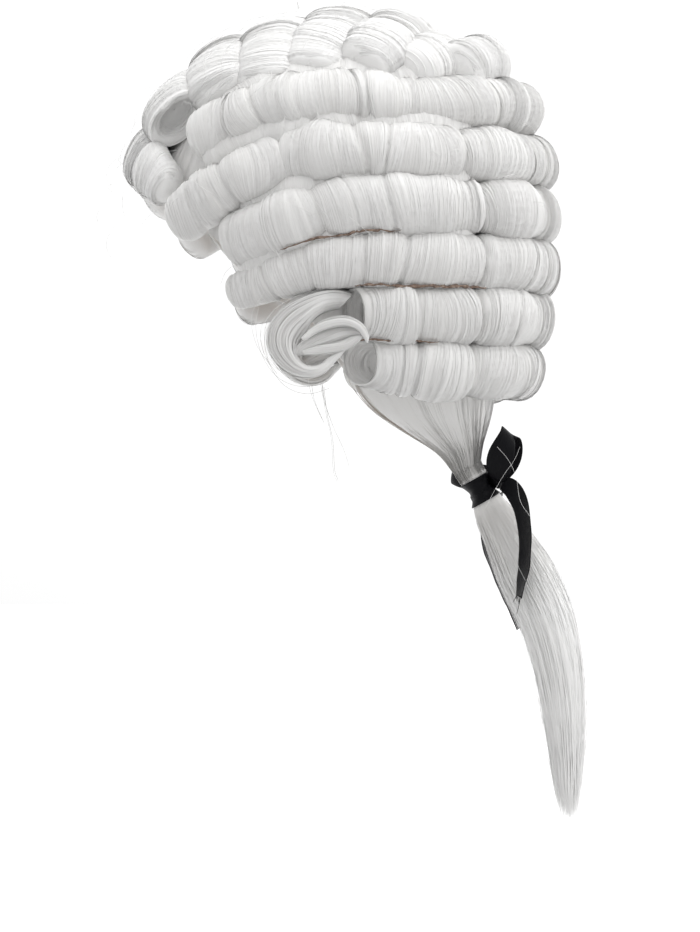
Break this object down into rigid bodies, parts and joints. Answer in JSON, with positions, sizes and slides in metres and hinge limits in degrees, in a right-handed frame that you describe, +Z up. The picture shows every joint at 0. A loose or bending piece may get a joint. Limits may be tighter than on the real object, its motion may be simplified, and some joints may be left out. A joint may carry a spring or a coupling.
{
  "type": "powdered wig",
  "caption": "White powdered wig: fitted cap, barrel rolls round the sides and back and across the crown, a spiral curl at each temple, and a queue tied with a black ribbon bow.",
  "frame": {"origin": "inside of the cap at its top, where the crown of the head touches it", "axes": "+Z up, the face looks along -Y, +X is the wearer's left"},
  "size_m": [0.2104, 0.2452, 0.4236],
  "materials": {
    "hair": "bright white synthetic hair with a soft sheen",
    "cap_net": "matt beige net with sewn weft bands",
    "satin_ribbon": "black satin"
  },
  "bodies": {
    "root": {"cap": "cap_net", "combed_hair": "hair", "left_roll_1": "hair", "left_roll_2_rear": "hair", "left_roll_2_front": "hair", "left_roll_3": "hair", "left_roll_4": "hair", "left_roll_5": "hair", "left_roll_6": "hair", "left_temple_curl": "hair", "right_roll_1": "hair", "right_roll_2_rear": "hair", "right_roll_2_front": "hair", "right_roll_3": "hair", "right_roll_4": "hair", "right_roll_5": "hair", "right_roll_6": "hair", "right_temple_curl": "hair", "back_roll_1": "hair", "back_roll_2": "hair", "back_roll_3": "hair", "back_roll_4": "hair", "back_roll_5": "hair", "back_roll_6": "hair", "crown_roll_1": "hair", "crown_roll_2": "hair", "crown_roll_3": "hair", "crown_roll_4": "hair", "crown_roll_5": "hair", "crown_roll_6": "hair", "crown_roll_back": "hair", "nape_hair": "hair", "queue": "hair", "ribbon_band": "satin_ribbon", "ribbon_knot": "satin_ribbon", "bow_loop_left": "satin_ribbon", "bow_loop_right": "satin_ribbon", "bow_tail_left": "satin_ribbon", "bow_tail_right": "satin_ribbon"}
  },
  "joints": []
}
